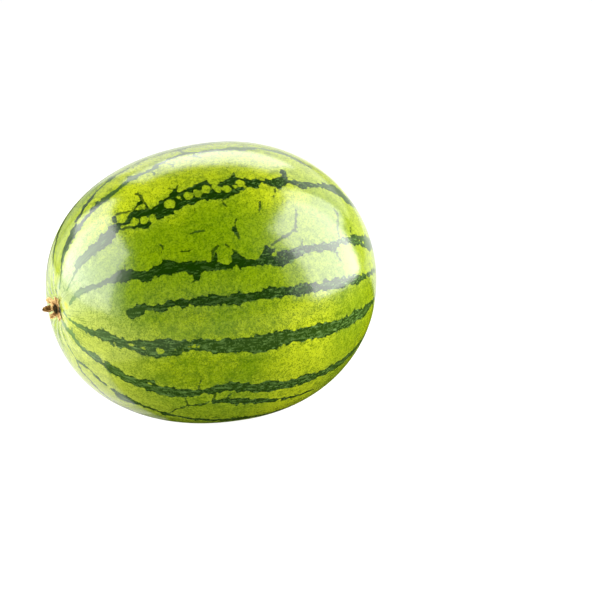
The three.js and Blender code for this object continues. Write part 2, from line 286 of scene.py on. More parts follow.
def rind_surface(station, turn):
    """Points of the rind in metres, for station and turn in radians.

    The outline is a blunt oval: x goes as cos^p and the radius as sin^p of the station, with p set by
    the bluntness of that end, and the blossom half a little fuller. Ribs are a cosine of the turn.
    Round the stem there are puckers, each end has a bell-shaped dimple, and the blossom scar is a small
    bell in its dimple. The underside is flattened at z = 0.
    """
    along = np.cos(station)
    across = np.maximum(np.sin(station), 0.0)
    stem_half = along > 0
    power = np.where(stem_half, 2 / STEM_END_BLUNTNESS, 2 / BLOSSOM_END_BLUNTNESS)
    x = -FRUIT_LENGTH / 2 * np.sign(along) * np.abs(along) ** power
    fullness = 1 + BLOSSOM_END_FULLNESS * x / (FRUIT_LENGTH / 2)
    radius = FRUIT_DIAMETER / 2 * across ** power * fullness
    ribs = RIB_HEIGHT * across * np.cos(RIB_COUNT * turn + RIB_TWIST * along)
    puckers = PUCKER_HEIGHT * bell(radius - PUCKER_PLACE, PUCKER_SPREAD)
    puckers = puckers * np.cos(PUCKER_COUNT * turn + PUCKER_TURN)
    at_stem = STEM_DIMPLE[0] * bell(radius, STEM_DIMPLE[1]) - puckers
    at_blossom = BLOSSOM_SCAR[0] * bell(radius, BLOSSOM_SCAR[1])
    at_blossom = at_blossom - BLOSSOM_DIMPLE[0] * bell(radius, BLOSSOM_DIMPLE[1])
    x = x + np.where(stem_half, at_stem, at_blossom)
    out = radius + ribs + across * oval(turn)
    z = np.maximum(out * np.cos(turn) + AXIS_HEIGHT, 0.0)
    return np.stack(np.broadcast_arrays(x, -out * np.sin(turn), z), axis=-1)


def mm_per_degree(station):
    """Millimetres that one degree of station and one degree of turn span, at stations in degrees."""
    step = 0.2
    side = math.pi / 2
    before = rind_surface(np.radians(station - step), side)
    after = rind_surface(np.radians(station + step), side)
    along = np.linalg.norm(after - before, axis=-1) / MM / (2 * step)
    here = rind_surface(np.radians(station), side)
    around = np.radians(np.abs(here[..., 1])) / MM
    return along, around


def mm_at(station):
    """The same at one station, as two plain numbers."""
    along, around = mm_per_degree(np.array([[station]]))
    return along.item(), around.item()


def middle_and_half(rows, station):
    """A stripe's middle turn and half its width, both in degrees, read between its outline's rows."""
    at, upper, lower = rows.T
    upper = np.interp(station, at, upper)
    lower = np.interp(station, at, lower)
    return (upper + lower) / 2, (lower - upper) / 2


def far_stripe_rows(index, stripe):
    """Outline rows of a far-side stripe: its middle wanders and its width swells and pinches as sums of
    sines of the station, and it runs out to a point at each end."""
    middle, half_mm, first, last = stripe
    station = np.linspace(first, last, 46)
    _, around = mm_per_degree(station[:, None])
    phase = index * 1.7
    wander = 1.6 * np.sin(np.radians(station * 2.3) + phase) + 0.8 * np.sin(station * 0.16 + 2 * phase)
    swell = 1 + 0.28 * np.sin(station * 0.21 + phase) + 0.2 * np.sin(station * 0.53 + 3 * phase)
    fade = np.clip(np.sin(np.radians((station - first) / (last - first) * 180)) * 2.2, 0.12, 1)
    half = np.minimum(half_mm * swell * fade / np.maximum(around[:, 0], 0.35), 7)
    return np.stack([station, middle + wander - half, middle + wander + half], axis=-1)


def scallops(rng, rows):
    """Light lobes that bite into a stripe's two edges, as (station, turn, radius in mm).

    Along each edge the lobes follow each other at random steps. A lobe's middle lies outside the edge by
    its radius less its bite, and the bite never takes more than a share of the stripe's width there.
    """
    first, last = rows[0, 0], rows[-1, 0]
    lobes = []
    for side in (-1, 1):
        station = first + rng.uniform(2, 5)
        while station < last - 3:
            radius = rng.uniform(1.2, 3.8) * min(1, 0.45 + math.sin(math.radians(station)))
            middle, half = middle_and_half(rows, station)
            along, around = mm_at(station)
            half_mm = half * around
            bite = min(rng.uniform(0.3, 1.2), 0.45 * half_mm)
            turn = middle + side * (half_mm + radius - bite) / around
            lobes.append((station, turn, radius))
            station += radius * rng.uniform(1.2, 2.4) / along
    return lobes


def spurs(rng, rows, spacing=24):
    """Short dark twigs that stand out from a stripe's edges, in the form of TWIGS."""
    first, last = rows[0, 0], rows[-1, 0]
    found = []
    for side in (-1, 1):
        station = first + rng.uniform(0.3, 1) * spacing
        while station < last - 6:
            middle, half = middle_and_half(rows, station)
            along, around = mm_at(station)
            length = rng.uniform(2, 6.5) / around
            lean = rng.uniform(-2.5, 2.5) / along
            root = middle + side * half * 0.7
            tip = middle + side * (half + length)
            bend = (station + 0.2 * lean, (root + tip) / 2)
            width = rng.uniform(0.5, 0.9)
            found.append((width, 0.15, station, root, *bend, station + lean, tip))
            station += spacing * rng.uniform(0.5, 1.6)
    return found


def lay_stripes(places, rng):
    """The field that the rind's dark markings are cut from, in mm: below zero is dark.

    It is the least of the signed distances to the stripes. Light lobes and patches are then cut out of
    it, as the greater of the field and the depth inside a lobe, and dark knots are added by the least.
    """
    outlines = [np.reshape(rows, (-1, 3)) for rows in STRIPES]
    outlines += [far_stripe_rows(i, stripe) for i, stripe in enumerate(FAR_STRIPES)]
    edge = np.full((STATIONS, POINTS_ROUND), 60.0)  # mm, far from any stripe
    for rows in outlines:
        middle, half = middle_and_half(rows, places.station)
        across = (np.abs(wrapped(places.turn - middle)) - half) * places.around
        past = np.maximum(rows[0, 0] - places.station, places.station - rows[-1, 0]) * places.along
        edge = np.minimum(edge, np.maximum(across - SPREAD, past))
    for rows in outlines:
        for station, turn, radius in scallops(rng, rows):
            near, x, y = places.near(station, turn, radius + 4)
            edge[near] = np.maximum(edge[near], radius - np.hypot(x, y))
    for sign, patches in ((1, LIGHT_PATCHES), (-1, DARK_PATCHES)):
        for station, turn, half_along, half_across in np.reshape(patches, (-1, 4)):
            near, x, y = places.near(station, turn, half_along + 5)
            depth = (1 - np.hypot(x / half_along, y / half_across)) * min(half_along, half_across)
            edge[near] = sign * np.maximum(sign * edge[near], depth)
    return edge, TWIGS + [t for rows in outlines[len(STRIPES):] for t in spurs(rng, rows)]


def lay_twigs(places, twigs):
    """Two fields for the thin dark twigs, in mm: the signed distance across the nearest twig, and how far
    it reaches to each side. The reach falls below zero past a twig's ends and away from it, so that no
    twig shows where two of them meet halfway."""
    across, nearest = np.full((2, STATIONS, POINTS_ROUND), 9.0)  # mm, far from any twig
    reach = np.full_like(across, -3)
    for root_width, tip_width, *run in twigs:
        stops = list(zip(run[::2], run[1::2]))
        for i, ((s0, f0), (s1, f1)) in enumerate(zip(stops, stops[1:])):
            station, turn = (s0 + s1) / 2, (f0 + f1) / 2
            along, around = mm_at(station)
            way = np.array([(s1 - s0) * along, (f1 - f0) * around])
            length = np.hypot(*way)
            way = way / length
            near, x, y = places.near(station, turn, length / 2 + 6)
            forward = x * way[0] + y * way[1]
            side = x * way[1] - y * way[0]
            past = np.maximum(np.abs(forward) - length / 2, 0)
            share = (np.clip(forward / length + 0.5, 0, 1) + i) / (len(stops) - 1)
            width = root_width + (tip_width - root_width) * share
            apart = np.hypot(side, past)
            closer = apart < nearest[near]
            fall = np.maximum(np.abs(side) - 1.8, 0) * 0.7
            across[near] = np.where(closer, side, across[near])
            reach[near] = np.where(closer, width - past - fall, reach[near])
            nearest[near] = np.where(closer, apart, nearest[near])
    return across, reach


def closed_tube(name, points):
    """A mesh from a grid of points: each row is a closed ring, and the first and last rows are drawn
    together to one point, the mean of the row."""
    rings, around = points.shape[:2]
    vertices = np.concatenate([points[:1].mean(1), points[1:-1].reshape(-1, 3), points[-1:].mean(1)])
    ring = np.arange(around)
    following = (ring + 1) % around
    starts = 1 + around * np.arange(rings - 3)[:, None]
    quads = np.stack([starts + ring, starts + following, starts + around + following,
                      starts + around + ring], axis=-1).reshape(-1, 4)
    last = len(vertices) - 1
    first_fan = np.stack([np.zeros(around, int), 1 + following, 1 + ring], axis=-1)
    base = last - around
    last_fan = np.stack([np.full(around, last), base + ring, base + following], axis=-1)
    mesh = bpy.data.meshes.new(name)
    faces = first_fan.tolist() + quads.tolist() + last_fan.tolist()
    mesh.from_pydata(vertices.tolist(), [], faces)
    mesh.polygons.foreach_set("use_smooth", [True] * len(mesh.polygons))
    mesh.update()
    return mesh


def write_fields(mesh, **fields):
    """Stores grids of numbers at the vertices of closed_tube, for the material to read by name. Each end
    takes the mean of its row."""
    for name, grid in fields.items():
        values = np.concatenate([grid[:1].mean(1), grid[1:-1].ravel(), grid[-1:].mean(1)])
        layer = mesh.attributes.new(name, "FLOAT", "POINT")
        layer.data.foreach_set("value", np.ascontiguousarray(values, dtype=np.float32))


def add_object(name, mesh, material):
    """A new object in the scene, at the origin, with its material."""
    thing = bpy.data.objects.new(name, mesh)
    bpy.context.scene.collection.objects.link(thing)
    mesh.materials.append(material)
    return thing


class Wire:
    """One output of a node. Arithmetic on wires adds the Math nodes that work it out."""

    def __init__(self, nodes, socket):
        self.nodes = nodes
        self.socket = socket

    def math(self, operation, *others):
        return self.nodes.math(operation, self, *others)

    def __rsub__(self, other):
        return self.nodes.math("SUBTRACT", other, self)

    __add__ = __radd__ = partialmethod(math, "ADD")
    __sub__ = partialmethod(math, "SUBTRACT")
    __mul__ = __rmul__ = partialmethod(math, "MULTIPLY")
    __abs__ = partialmethod(math, "ABSOLUTE")
    most = partialmethod(math, "MAXIMUM")


class Nodes:
    """The node tree of one new material."""

    def __init__(self, name):
        self.material = bpy.data.materials.new(name)
        self.material.use_nodes = True
        self.tree = self.material.node_tree
        self.tree.nodes.clear()

    def add(self, kind, values, output=0, **settings):
        """Adds a node, sets its settings and then its sockets, and returns one output as a Wire."""
        node = self.tree.nodes.new(kind)
        for name, setting in settings.items():
            setattr(node, name, setting)
        for name, value in values.items():
            if isinstance(value, Wire):
                self.tree.links.new(value.socket, node.inputs[name])
            else:
                node.inputs[name].default_value = value
        return Wire(self, node.outputs[output])

    def math(self, operation, *values):
        """A Math node on numbers, of which some may be wires."""
        return self.add("ShaderNodeMath", dict(enumerate(values)), operation=operation)

    def field(self, name):
        """A number that the mesh holds for each vertex."""
        return self.add("ShaderNodeAttribute", {}, "Fac", attribute_name=name)

    def place(self):
        """The point in the object's own metres."""
        return self.add("ShaderNodeTexCoord", {}, "Object")

    def part(self, where, axis):
        """One part of a vector: 0 for X, 1 for Y and 2 for Z."""
        return self.add("ShaderNodeSeparateXYZ", {0: where}, axis)

    def vector(self, operation, *values, output=0):
        """Vector Math on vectors, of which some may be wires."""
        return self.add("ShaderNodeVectorMath", dict(enumerate(values)), output, operation=operation)

    def noise(self, where, size_mm, detail=2, roughness=0.5, output=0):
        """Soft random values round 0.5, with lumps of about a size."""
        values = {"Vector": where, "Scale": 1 / (size_mm * MM), "Detail": detail, "Roughness": roughness}
        return self.add("ShaderNodeTexNoise", values, output)

    def lobes(self, where, size_mm):
        """Distance to the nearest of scattered points, in shares of the cell size."""
        return self.add("ShaderNodeTexVoronoi", {"Vector": where, "Scale": 1 / (size_mm * MM)})

    def warp(self, where, size_mm, shift_mm):
        """Points pushed aside by soft random shifts, with lumps of about a size."""
        even = self.vector("SUBTRACT", self.noise(where, size_mm, 1, output=1), (0.5, 0.5, 0.5))
        return self.vector("ADD", where, self.vector("MULTIPLY", even, (2 * shift_mm * MM,) * 3))

    def drawn_along_meridians(self, where):
        """Points on a round bar that runs along the fruit's axis: each keeps its turn, and its way along
        is shortened, so that spots laid there are drawn out along the meridians."""
        across = self.vector("MULTIPLY", self.vector("SUBTRACT", where, CENTRE), (0, 1, 1))
        across = self.vector("MULTIPLY", self.vector("NORMALIZE", across), (BAR_RADIUS,) * 3)
        return self.vector("ADD", across, self.vector("MULTIPLY", where, (BAR_SHARE, 0, 0)))

    def ease(self, value, low, high):
        """0 below low, 1 above high, and a smooth rise between."""
        values = {0: value, 1: low, 2: high}
        return self.add("ShaderNodeMapRange", values, interpolation_type="SMOOTHSTEP")

    def mix(self, share, first, second):
        """The first colour where the share is 0 and the second where it is 1."""
        return self.add("ShaderNodeMix", {0: share, 6: first, 7: second}, 2, data_type="RGBA")

    def finish(self, values):
        """Ends the tree with a Principled surface."""
        surface = self.add("ShaderNodeBsdfPrincipled", values)
        output = self.tree.nodes.new("ShaderNodeOutputMaterial")
        self.tree.links.new(surface.socket, output.inputs["Surface"])
        return self.material


def screen(*values):
    """A linear colour from screen values of 0 to 255."""
    shares = [value / 255 for value in values]
    return (*(s / 12.92 if s <= 0.04045 else ((s + 0.055) / 1.055) ** 2.4 for s in shares), 1)


# A small yellow bud scar beside the stem, at a station and a turn in degrees.
BUD = rind_surface(math.radians(10.8), math.radians(65.6))

CORK_BROWN = screen(120, 92, 48)
CORK_TAN = screen(186, 156, 98)


def rind_material(look):
    """Waxy striped skin: lime ground of small rounded pillows with darker gaps, ragged dark stripes that
    the pillows bite into, thin twigs, and a fine dark speckle over all."""
    nodes = Nodes("rind_skin")
    ease, mix, noise, lobes, warp = nodes.ease, nodes.mix, nodes.noise, nodes.lobes, nodes.warp
    field, place = nodes.field, nodes.place()
    station, from_stripe = field("station"), field("edge_mm")

    # Lumps of several sizes.
    clouds = noise(place, 30, 1.5)
    medium = noise(place, 8)
    ragged = noise(place, 2.4, 3, 0.6) - 0.5
    fine = noise(place, 0.95, 1, 0.6)
    grain = noise(place, 1.5, 0)
    meridian = nodes.drawn_along_meridians(place)
    streaks = noise(meridian, 1.8, 2, 0.6)
    pillows = lobes(warp(place, 11, 3.4), 7.2)
    beads = lobes(warp(place, 4, 1.2), 3.1)

    # Regions of the fruit, by height, by the way that a place faces along Y, and by station. Some of them
    # mark where light and shade are painted into the colour.
    high, facing = nodes.part(place, 2), nodes.part(meridian, 1)
    low = ease(high, 0.08, 0.03)
    under = ease(high, 0.148, 0.1)
    behind = ease(facing, -0.034, -0.012)
    # Painted highlight: stripes on the top of the fruit, where the top highlight falls, are made paler.
    painted_top_highlight = ease(facing, -0.026, -0.01) * ease(facing, 0.036, 0.024)
    painted_top_highlight = painted_top_highlight * (1 - under) * ease(station, 40, 60)
    # Painted light: the ground is mixed towards a lighter yellow on the top of the fruit.
    painted_top_light = ease(facing, -0.064, -0.03) * ease(facing, 0.034, 0.01) * (1 - under)
    before_blossom = ease(station, 160, 140) * 0.7 + 0.3
    painted_top_light = painted_top_light * before_blossom
    # Painted light too: a band on the -Y side between stations 84 and 120.
    painted_light_band = ease(station, 84, 98) * ease(station, 120, 106) * ease(facing, -0.02, -0.038)
    shady = ease(facing, -0.054, -0.066) * ease(high, 0.112, 0.14)
    shaded = under.most(behind)
    near_stem = ease(station - shaded * 18 - low * 12, 44, 8)
    near_blossom = ease(station, 94, 142) * before_blossom
    near_ends = near_stem.most(near_blossom * (0.75 - under * 0.4))
    fading = ease(station - under * 6, 58, 10).most(ease(station, 92, 150) * 0.7)
    middle = ease(abs(station - 90), 84, 50)

    # Stripes with bitten edges, and twigs.
    bites = (0.47 - pillows) * 3.2 * middle + (0.5 - beads) * (middle * 0.7 + 0.4)
    bites = bites + ragged * (middle * 1.5 + 0.6)
    bitten = from_stripe + bites
    dark = ease(bitten, 0.45, -0.45)
    inside = ease(bitten, -0.3, -2.2)
    twig = field("twig_reach_mm") - abs(field("twig_across_mm") + ragged * 1.2)
    twig = twig + (medium - 0.5) + (beads - 0.42) * 1.5 + (pillows - 0.47) * 1.2
    dark = dark.most(ease(twig, -0.65, 0.15) * 0.85)

    # The ground, from its broad tones to its finest grain, with painted light on the top and low down,
    # painted shade on a band, and a painted sheen by the stem.
    gaps = ease(pillows * 0.6 + beads * 0.6 + (fine - 0.5) * 0.35, 0.46, 0.74)
    gap_share = ease(from_stripe, 12, 0.5) * 0.2 + ease(medium, 0.38, 0.66) * 0.35
    gap_share = gap_share * (1 - near_ends * 0.6)
    tone = clouds + (medium - 0.5) * 0.3 + (0.5 - pillows) * 0.2 + ragged * 0.35
    tone = ease(tone, 0.34, 0.68)
    ground = mix(tone, look.ground_deep_and_shade, look.ground)
    beside = ease(bitten, 4.5, 0.6) * 0.3
    # Besides the beads' light middles, the ground is lightened low on the fruit: painted light from below.
    ground = mix(ease(beads, 0.44, 0.2) * 0.2 + beside + low * 0.45, ground, look.ground_light_and_painted_low_light)
    # Near the ends the ground turns pale. On the -Y side by the stem, where the left highlight falls, it is
    # whitish, a painted sheen.
    pale = mix(shaded, look.ground_pale_and_sheen, look.ground_low)
    pale = mix(near_blossom, pale, look.ground_yellow_and_painted_light)
    painted_top_light = painted_top_light * (ease(abs(station - 56), 20, 8) * 0.3 + 0.5 - near_stem * 0.3)
    painted_top_light = painted_top_light * (ease(from_stripe, 0, 5) * 0.5 + 0.5)
    # Painted light on the top and on the -Y band.
    ground = mix(painted_top_light.most(painted_light_band * 0.8), ground, look.ground_yellow_and_painted_light)
    # Painted shade: a band on the -Y side at mid height is darkened towards the deep ground.
    ground = mix(shady * (1 - near_ends) * 0.75, ground, look.ground_deep_and_shade)
    ground = mix(near_ends * (0.75 - behind * 0.4), ground, pale)
    ground = mix(gaps * gap_share, ground, look.vein)
    streaked = near_ends * 0.3 + ease(station, 32, 14) * 0.3
    ground = mix(ease(streaks, 0.5, 0.68) * streaked, ground, look.vein)
    speckle = ease(fine + ragged * 0.35 - (0.5 - beads) * 0.12, 0.48, 0.62)
    ground = mix(speckle * (0.62 - near_ends * 0.2), ground, look.vein)
    grain_share = 0.2 - near_ends * 0.1
    ground = mix(ease(grain, 0.52, 0.66) * grain_share, ground, look.vein)
    ground = mix(ease(grain, 0.48, 0.34) * grain_share, ground, look.ground_light_and_painted_low_light)
    from_bud = nodes.vector("DISTANCE", place, BUD, output=1)
    ground = mix(ease(from_bud, 0.0042, 0.0014), ground, look.bud)

    # The stripes' own tones.
    flecks = lobes(warp(meridian, 3, 1), 1.7)
    along_front = ease(station, 84, 98) * 0.4
    fleck_share = ease(medium, 0.3, 0.66) * (under * 0.3 + fading * 0.5 + along_front + 0.2)
    inner = mix(under * (inside * 0.3 + 0.3), look.stripe, look.stripe_low)
    flecks = ease(flecks + (fine - 0.5) * 0.5, 0.42, 0.16) * fleck_share
    inner = mix(flecks, inner, look.stripe_light)
    dots = lobes(warp(place, 3, 1), 1.9) + (fine - 0.5) * 0.3
    dots = ease(dots, 0.38, 0.18) * along_front.most(under * 0.3)
    inner = mix(dots, inner, look.stripe_light)
    paled = fading * (inside * 0.25 + 0.2) * (1 - under * 0.7)
    paled = (paled + ease(station, 28, 13) * 0.45) * (1 - behind * 0.6)
    # Stripes pale near the ends, and on the top as a painted highlight tint.
    inner = mix(paled.most(painted_top_highlight * 0.32), inner, look.stripe_end_and_top_highlight)
    inner = mix(ease(streaks, 0.5, 0.66) * (under * 0.28 + 0.1), inner, look.stripe_light)
    colour = mix(dark, ground, inner)

    scar = ease(field("blossom_mm") + ragged * 2, 4.6, 3.6)
    cork = mix(ease(fine, 0.35, 0.65), CORK_BROWN, CORK_TAN)
    colour = mix(scar, colour, cork)
    roughness = ease(medium, 0, 1) * 0.06 + (look.roughness - 0.03) + scar * 0.4

    height = (medium - 0.5) * 0.5 + ragged * 0.2 + (grain - 0.5) * 0.12
    bump = nodes.add("ShaderNodeBump", {"Distance": 0.00018, "Height": height})
    return nodes.finish({"Base Color": colour, "Roughness": roughness, "Normal": bump, "IOR": 1.45})


def stem_material(look):
    """Dry split husk: fibres that run along each flap, straw and tan at its edges and tip, brown along
    its middle, and dark towards the core."""
    nodes = Nodes("stem_husk")
    ease, mix, field = nodes.ease, nodes.mix, nodes.field
    tone = field("tone")
    where = nodes.add("ShaderNodeCombineXYZ",
                      {0: field("across_mm"), 1: field("along_mm") * 0.3, 2: tone * 9})
    fibre = nodes.add("ShaderNodeTexNoise", {"Vector": where, "Scale": 1.5, "Detail": 3, "Roughness": 0.65})
    blotch = nodes.noise(nodes.place(), 2.4)
    light = tone + (fibre - 0.5) * 2.6 + (blotch - 0.5) * 0.8
    colour = mix(ease(light, 0, 0.4), look.core, look.bark)
    colour = mix(ease(light, 0.3, 0.75), colour, look.husk)
    colour = mix(ease(light, 0.65, 1.15), colour, look.straw)
    bump = nodes.add("ShaderNodeBump", {"Distance": 0.0003, "Height": fibre})
    return nodes.finish({"Base Color": colour, "Roughness": 0.85, "Specular IOR Level": 0.12,
                         "Normal": bump})


def floor_material():
    """A white table that is lit from inside, so that shadows on it stay faint."""
    return Nodes("floor_white").finish({
        "Base Color": (0.16, 0.16, 0.16, 1), "Roughness": 0.9, "Specular IOR Level": 0,
        "Emission Color": (1, 1, 1, 1), "Emission Strength": 0.95})


# The dried stem, in mm and degrees. Each flap of the split husk: where it stands round the stub (0 is
# up, 90 faces -Y), its root's distance from the stem's axis, its length and width, its lean
# away from the axis at the root, how far it curls on and how far it twists by its tip, and its tone.
FLAPS = [
    (32, 3.2, 11.4, 5.2, 69, 16, 40, 0.72),
    (86, 3.2, 4.6, 5.6, 70, 12, 0, 0.3),
    (110, 3.2, 9.8, 5, 69, 20, -26, 0.66),
    (200, 3.2, 6.6, 5.6, 62, -50, -24, 0.8),
    (262, 4.1, 9.9, 6, 3, 6, -4, 0.48),
    (272, 3, 3.6, 7.2, 4, 24, 0, 0.85),
    (323, 3.2, 8.2, 6.2, 42, 10, 50, 0.95),
]
FLAP_ROOT_HEIGHT = -1.95
FLAP_THICKNESS = 0.62
FLAP_CUP = 0.5
STUB_PROFILE = [  # radius and height over the end of the fruit, from the foot to the hollow's floor
    (0, -2.8), (2.6, -2.6), (4.4, -2.3), (4.2, -1.8), (3.2, -1.2), (2.9, 0), (2.6, 0.3),
    (2, 0.1), (1.7, -0.7), (0, -0.9)]
STEM_ORIGIN = np.array([-FRUIT_LENGTH / 2, 0, AXIS_HEIGHT])


def along_stem(out_mm, side_mm, up_mm, turn):
    """Points in metres from distances out from the stem's axis, sideways, and up the stem, which points
    along -X, for something that stands at a turn round it."""
    y = -out_mm * np.sin(turn) + side_mm * np.cos(turn)
    z = out_mm * np.cos(turn) + side_mm * np.sin(turn)
    return STEM_ORIGIN + np.stack(np.broadcast_arrays(-up_mm, y, z), axis=-1) * MM


def flap_surface(index, flap, rows=48, ring=36):
    """A flap as a flat closed tube bent along an arc, with its tone at each point.

    Its way is an arc that starts at the lean and turns on by the curl. Across it the section is a
    flattened rounded box, as wide as a parabola of the way along, waved at its edges by sines, cupped by
    the square of the distance from its middle, and twisted as the root of the way along. Ridges along it
    are a cosine of that distance, and its torn tip is drawn out by a sum of sines of it. The tone rises
    from the root to the tip and from the middle to the edges.
    """
    turn, root, length, width, lean, curl, twist, tone = flap
    q = (np.arange(ring) * 2 * math.pi / ring)[None, :]
    side = np.sign(np.cos(q)) * np.abs(np.cos(q)) ** 0.75
    face = np.sign(np.sin(q)) * np.abs(np.sin(q)) ** 0.75
    s = np.linspace(0, 1, rows)[:, None]
    torn = 0.05 * np.sin(3.1 * side + 1.9 * index) + 0.04 * np.sin(9.7 * side + 2.3 * index)
    s = s * (1 + torn * s ** 3)
    start, bend = math.radians(lean), math.radians(curl)
    angle = start + bend * s
    out = root + length * (math.cos(start) - np.cos(angle)) / bend
    up = FLAP_ROOT_HEIGHT + length * (np.sin(angle) - math.sin(start)) / bend
    share = 0.8 + 0.55 * s - 0.8 * s * s
    share = share * (1 + 0.06 * np.sin(9 * s + 2.1 * index) + 0.04 * np.sin(23 * s + index))
    flat = width / 2 * share * side
    wave = 0.2 * np.sin(7 * s + 1.3 * index) * side + 0.1 * np.sin(15 * s + 2.9 * index) * side * side
    ridges = 0.07 * np.cos(5 * math.pi * side + index)
    thick = FLAP_THICKNESS / 2 * (1 - 0.45 * s) * face
    high = thick + (ridges + wave * s) * share - FLAP_CUP * (side * side - 0.5) * share
    turned = math.radians(twist) * np.sqrt(s)
    across = flat * np.cos(turned) - high * np.sin(turned)
    lift = flat * np.sin(turned) + high * np.cos(turned)
    points = along_stem(out - lift * np.cos(angle), across, up + lift * np.sin(angle), math.radians(turn))
    light = tone + 0.2 * s - 0.45 * bell(length * s, 2.2) + 0.5 * (side * side - 0.4)
    return points, length * s, flat, light


def stub_surface(rows=40, ring=64):
    """The stub is turned about the stem's axis, with fibres along it as cosines of the turn. It is brown
    at its foot and darkens to its hollow end."""
    profile = np.array(STUB_PROFILE, dtype=float)
    run = np.concatenate([[0], np.cumsum(np.hypot(*np.diff(profile, axis=0).T))])
    at = np.linspace(0, run[-1], rows)[:, None]
    radius = np.interp(at, run, profile[:, 0])
    height = np.interp(at, run, profile[:, 1])
    turn = (-np.arange(ring) * 2 * math.pi / ring)[None, :]
    fibres = 0.05 * np.cos(9 * turn + 0.8 * height) + 0.035 * np.cos(21 * turn - 1.1 * height)
    radius = radius * (1 + fibres)
    points = along_stem(radius, 0, height, turn)
    light = 0.34 * bell(height + 2.6, 1.1) + 0 * turn
    return points, at + 0 * turn, radius * turn, light


def tint(name, description, *values):
    """A colour that a user can change, from screen values of 0 to 255."""
    return bpy.props.FloatVectorProperty(
        name=name, description=description, subtype="COLOR", size=4, min=0, max=1,
        default=screen(*values))


class MelonRindLook(bpy.types.PropertyGroup):
    ground: tint("Ground", "Lime green between the stripes", 114, 131, 2)
    # Also mixed in as painted shade on a band on the -Y side.
    ground_deep_and_shade: tint("Deep ground", "Darker patches of the ground", 88, 111, 0)
    # Whitish in part: a painted sheen where it faces -Y near the stem.
    ground_pale_and_sheen: tint("Pale ground", "Ground near the two ends", 125, 141, 104)
    ground_low: tint("Low pale ground", "Ground near the two ends, low on the fruit", 150, 158, 58)
    # Also mixed in as painted light on the top and on a band on the -Y side; near the blossom end it is the
    # ground's own yellow.
    ground_yellow_and_painted_light: tint("Sunny ground", "Yellower ground on top of the fruit", 156, 166, 20)
    # Also mixed in low on the fruit as painted light from below.
    ground_light_and_painted_low_light: tint("Light ground", "Middles of the ground's small beads", 124, 142, 30)
    vein: tint("Vein", "Thin veins and speckles of the ground", 48, 74, 4)
    bud: tint("Bud", "Small yellow scar beside the stem", 138, 148, 0)
    stripe: tint("Stripe", "Darkest green of the stripes", 13, 36, 0)
    stripe_low: tint("Low stripe", "Green of the stripes low on the fruit", 38, 60, 12)
    stripe_light: tint("Light in stripe", "Lighter specks inside the stripes", 88, 116, 56)
    # Also mixed into the stripes on the top of the fruit as a painted highlight tint.
    stripe_end_and_top_highlight: tint("Stripe end", "Grey green of the stripes near the two ends", 82, 112, 44)
    roughness: bpy.props.FloatProperty(
        name="Roughness", description="How soft the skin's reflections are", min=0.05, max=1,
        default=0.165)


class MelonStemLook(bpy.types.PropertyGroup):
    husk: tint("Husk", "Tan of the dry husk", 128, 93, 50)
    straw: tint("Straw", "Palest edges and tips of the husk", 198, 168, 112)
    bark: tint("Bark", "Brown of its older parts", 70, 44, 8)
    core: tint("Core", "Dark green of its core and folds", 20, 24, 5)


class MelonStudio(bpy.types.PropertyGroup):
    panel_light: bpy.props.FloatProperty(
        name="Panel light", description="Radiance that each light takes a share of", min=0, default=10)


class MELON_OT_rind(bpy.types.Operator):
    """Make the striped fruit"""
    bl_idname = "melon.rind"
    bl_label = "Rind"

    def execute(self, context):
        places = Places()
        points = rind_surface(np.radians(places.station), np.radians(places.turn))
        mesh = closed_tube("rind", points)
        edge, twigs = lay_stripes(places, np.random.default_rng(SEED))
        across, reach = lay_twigs(places, twigs)
        from_axis = np.hypot(points[..., 1], points[..., 2] - AXIS_HEIGHT) / MM
        write_fields(mesh, edge_mm=edge, twig_across_mm=across, twig_reach_mm=reach,
                     station=np.broadcast_to(places.station, edge.shape),
                     blossom_mm=np.where(points[..., 0] > 0, from_axis, 90))
        rind = add_object("rind", mesh, rind_material(context.scene.melon_rind))
        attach(rind, "root")
        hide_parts("fruit")
        return {"FINISHED"}


class MELON_OT_dried_stem(bpy.types.Operator):
    """Make the dried stem: its stub and the flaps of its split husk"""
    bl_idname = "melon.dried_stem"
    bl_label = "Dried stem"

    def execute(self, context):
        material = stem_material(context.scene.melon_stem)
        shapes = {"stem_stub": stub_surface()}
        for index, flap in enumerate(FLAPS):
            shapes["stem_flap_" + str(index + 1)] = flap_surface(index, flap)
        for name, (points, along, across, tone) in shapes.items():
            mesh = closed_tube(name, points)
            write_fields(mesh, along_mm=along, across_mm=across, tone=tone)
            piece = add_object(name, mesh, material)
            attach(piece, "root")
            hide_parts("dried_stem")
        return {"FINISHED"}


# The camera, worked out for a square frame: its turn from -Y towards +X and its height in degrees, its
# distance from the fruit's middle, and how far beside and above that middle it aims, in metres.
CAMERA_AZIMUTH = -23.28
CAMERA_ELEVATION = 20.33
CAMERA_DISTANCE = 1.3
CAMERA_AIM = (0.0651, -0.01177)
CAMERA_LENS = 100.556

# What the camera sees beyond the floor is a little brighter than white.
ROOM_LIGHT = 1.05
FLOOR_REACH = 12

